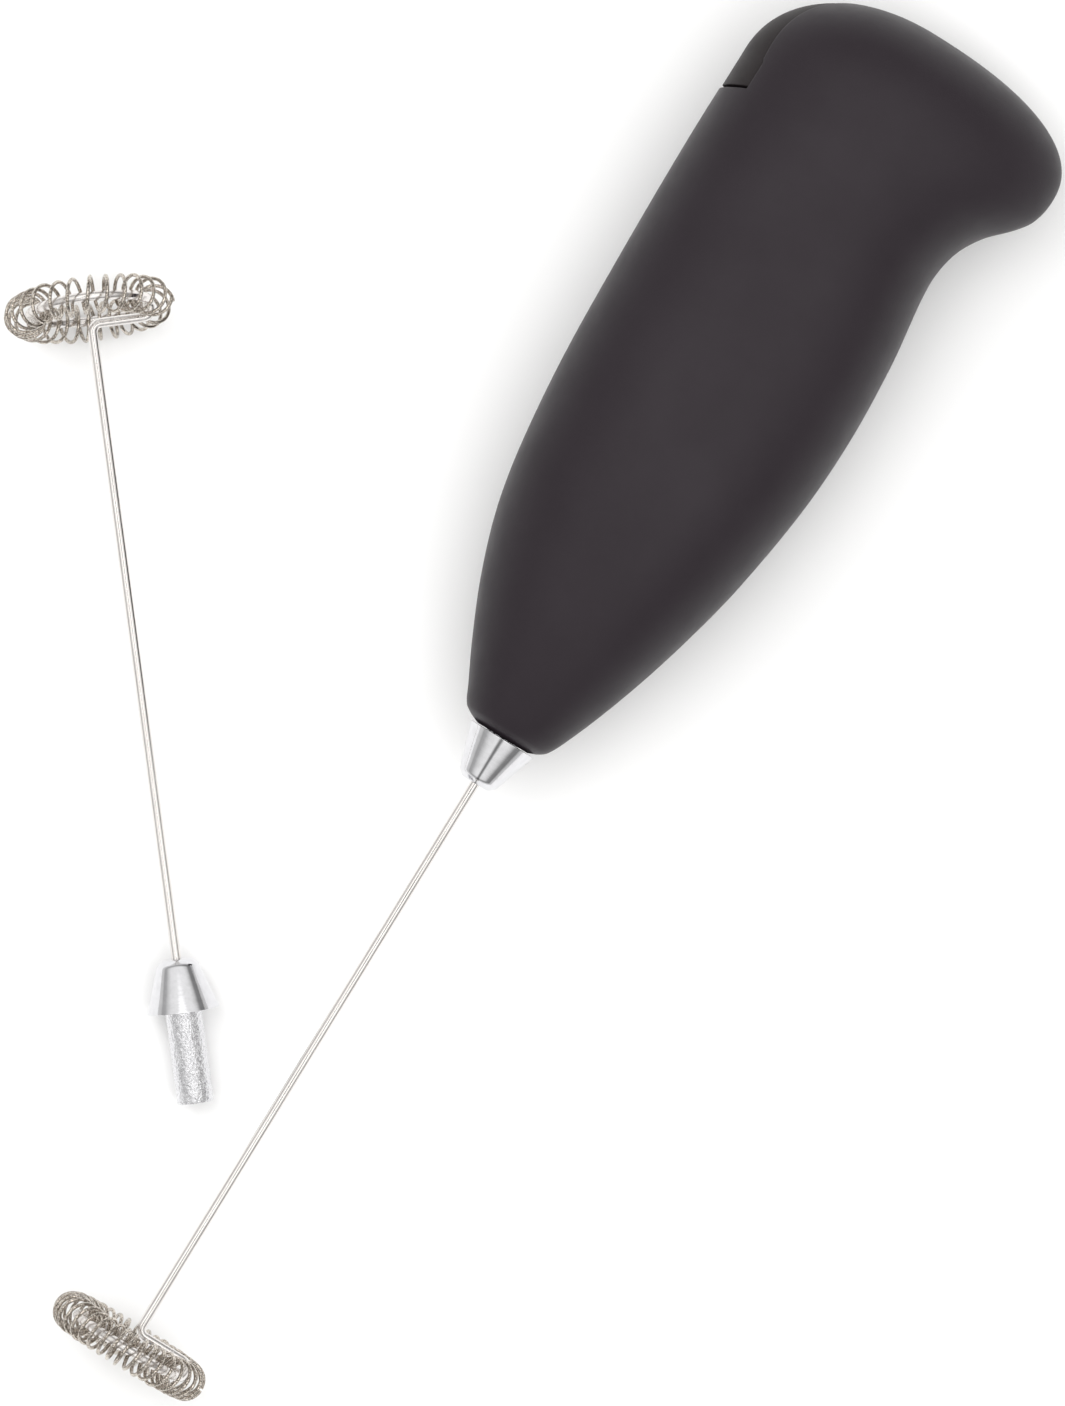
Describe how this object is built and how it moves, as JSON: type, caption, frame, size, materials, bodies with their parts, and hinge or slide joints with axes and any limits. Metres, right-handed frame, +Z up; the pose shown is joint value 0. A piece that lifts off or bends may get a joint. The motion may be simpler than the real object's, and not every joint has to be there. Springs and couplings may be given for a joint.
{
  "type": "milk frother",
  "caption": "Battery-driven hand milk frother with a charcoal shell, thumb switch and pull-out spring whisk, lying on its side by a loose spare whisk.",
  "frame": {"origin": "centre of the footprint on the table that the frother and its spare whisk lie on", "axes": "+Y along the spindle from the whisk towards the crown of the handle, +X towards the beak, +Z up from the table through the cover shell"},
  "size_m": [0.1192, 0.2214, 0.0331],
  "materials": {
    "shell": "soft-touch charcoal",
    "strip": "soft-touch, a little darker and browner",
    "frame_plastic": "moulded",
    "cap_plastic": "moulded",
    "zinc": "zinc-plated steel",
    "battery_wrap": "printed film over steel",
    "nickel": "nickel-plated spring steel",
    "red_insulation": "PVC",
    "black_insulation": "PVC",
    "brass": "sheet brass",
    "bronze": "sintered bronze",
    "ferrite": "ferrite",
    "copper": "enamelled copper on laminations",
    "chrome": "polished",
    "stainless": "drawn stainless wire",
    "coil_wire": "drawn stainless spring wire"
  },
  "bodies": {
    "root": {"housing_base": "shell", "chassis": "frame_plastic", "chassis_screws": "zinc", "motor_strap": "zinc", "strap_screws": "zinc", "battery_a": "battery_wrap", "battery_b": "battery_wrap", "negative_spring": "nickel", "positive_plate": "nickel", "bridge_contact": "nickel", "red_lead": "red_insulation", "black_lead": "black_insulation", "switch_lead": "black_insulation", "button_pin": "zinc", "switch_contact": "brass", "motor_can": "zinc", "motor_magnets": "ferrite", "motor_end_cap": "cap_plastic", "motor_brushes": "brass", "motor_terminals": "brass", "front_bush": "bronze", "rear_bush": "bronze"},
    "cover": {"housing_cover": "shell"},
    "button": {"switch_button": "strip"},
    "leaf": {"switch_leaf": "brass"},
    "drive": {"motor_shaft": "nickel", "motor_armature": "copper", "motor_commutator": "brass", "drive_socket": "brass"},
    "whisk": {"whisk_plug": "chrome", "whisk_cone": "chrome", "whisk_wire": "stainless", "whisk_coil": "coil_wire"},
    "spare_whisk": {"spare_plug": "chrome", "spare_cone": "chrome", "spare_wire": "stainless", "spare_coil": "coil_wire"}
  },
  "joints": [
    {"name": "cover_lift", "type": "slide", "parent": "root", "child": "cover", "axis": [0, 0, 1], "range_m": [0, 0.04]},
    {"name": "button_press", "type": "hinge", "parent": "root", "child": "button", "pos_m": [0.01867, 0.10097, 0.0165], "axis": [0, 0, 1], "range_deg": [0, 3.5], "stiffness_Nm_per_rad": 0.3},
    {"name": "leaf_flex", "type": "hinge", "parent": "root", "child": "leaf", "pos_m": [0.01527, 0.08147, 0.0165], "axis": [0, 0, -1], "range_deg": [0, 3.1]},
    {"name": "whisk_spin", "type": "hinge", "parent": "root", "child": "drive", "pos_m": [0.03287, -0.00653, 0.0165], "axis": [0, 1, 0], "continuous": true},
    {"name": "whisk_pull", "type": "slide", "parent": "drive", "child": "whisk", "axis": [0, -1, 0], "range_m": [0, 0.04]},
    {"name": "spare_lift", "type": "slide", "parent": "root", "child": "spare_whisk", "axis": [0, 0, 1], "range_m": [0, 0.04]}
  ],
  "couplings": [
    {"joint": "leaf_flex", "follows": "button_press", "ratio": 0.857}
  ]
}
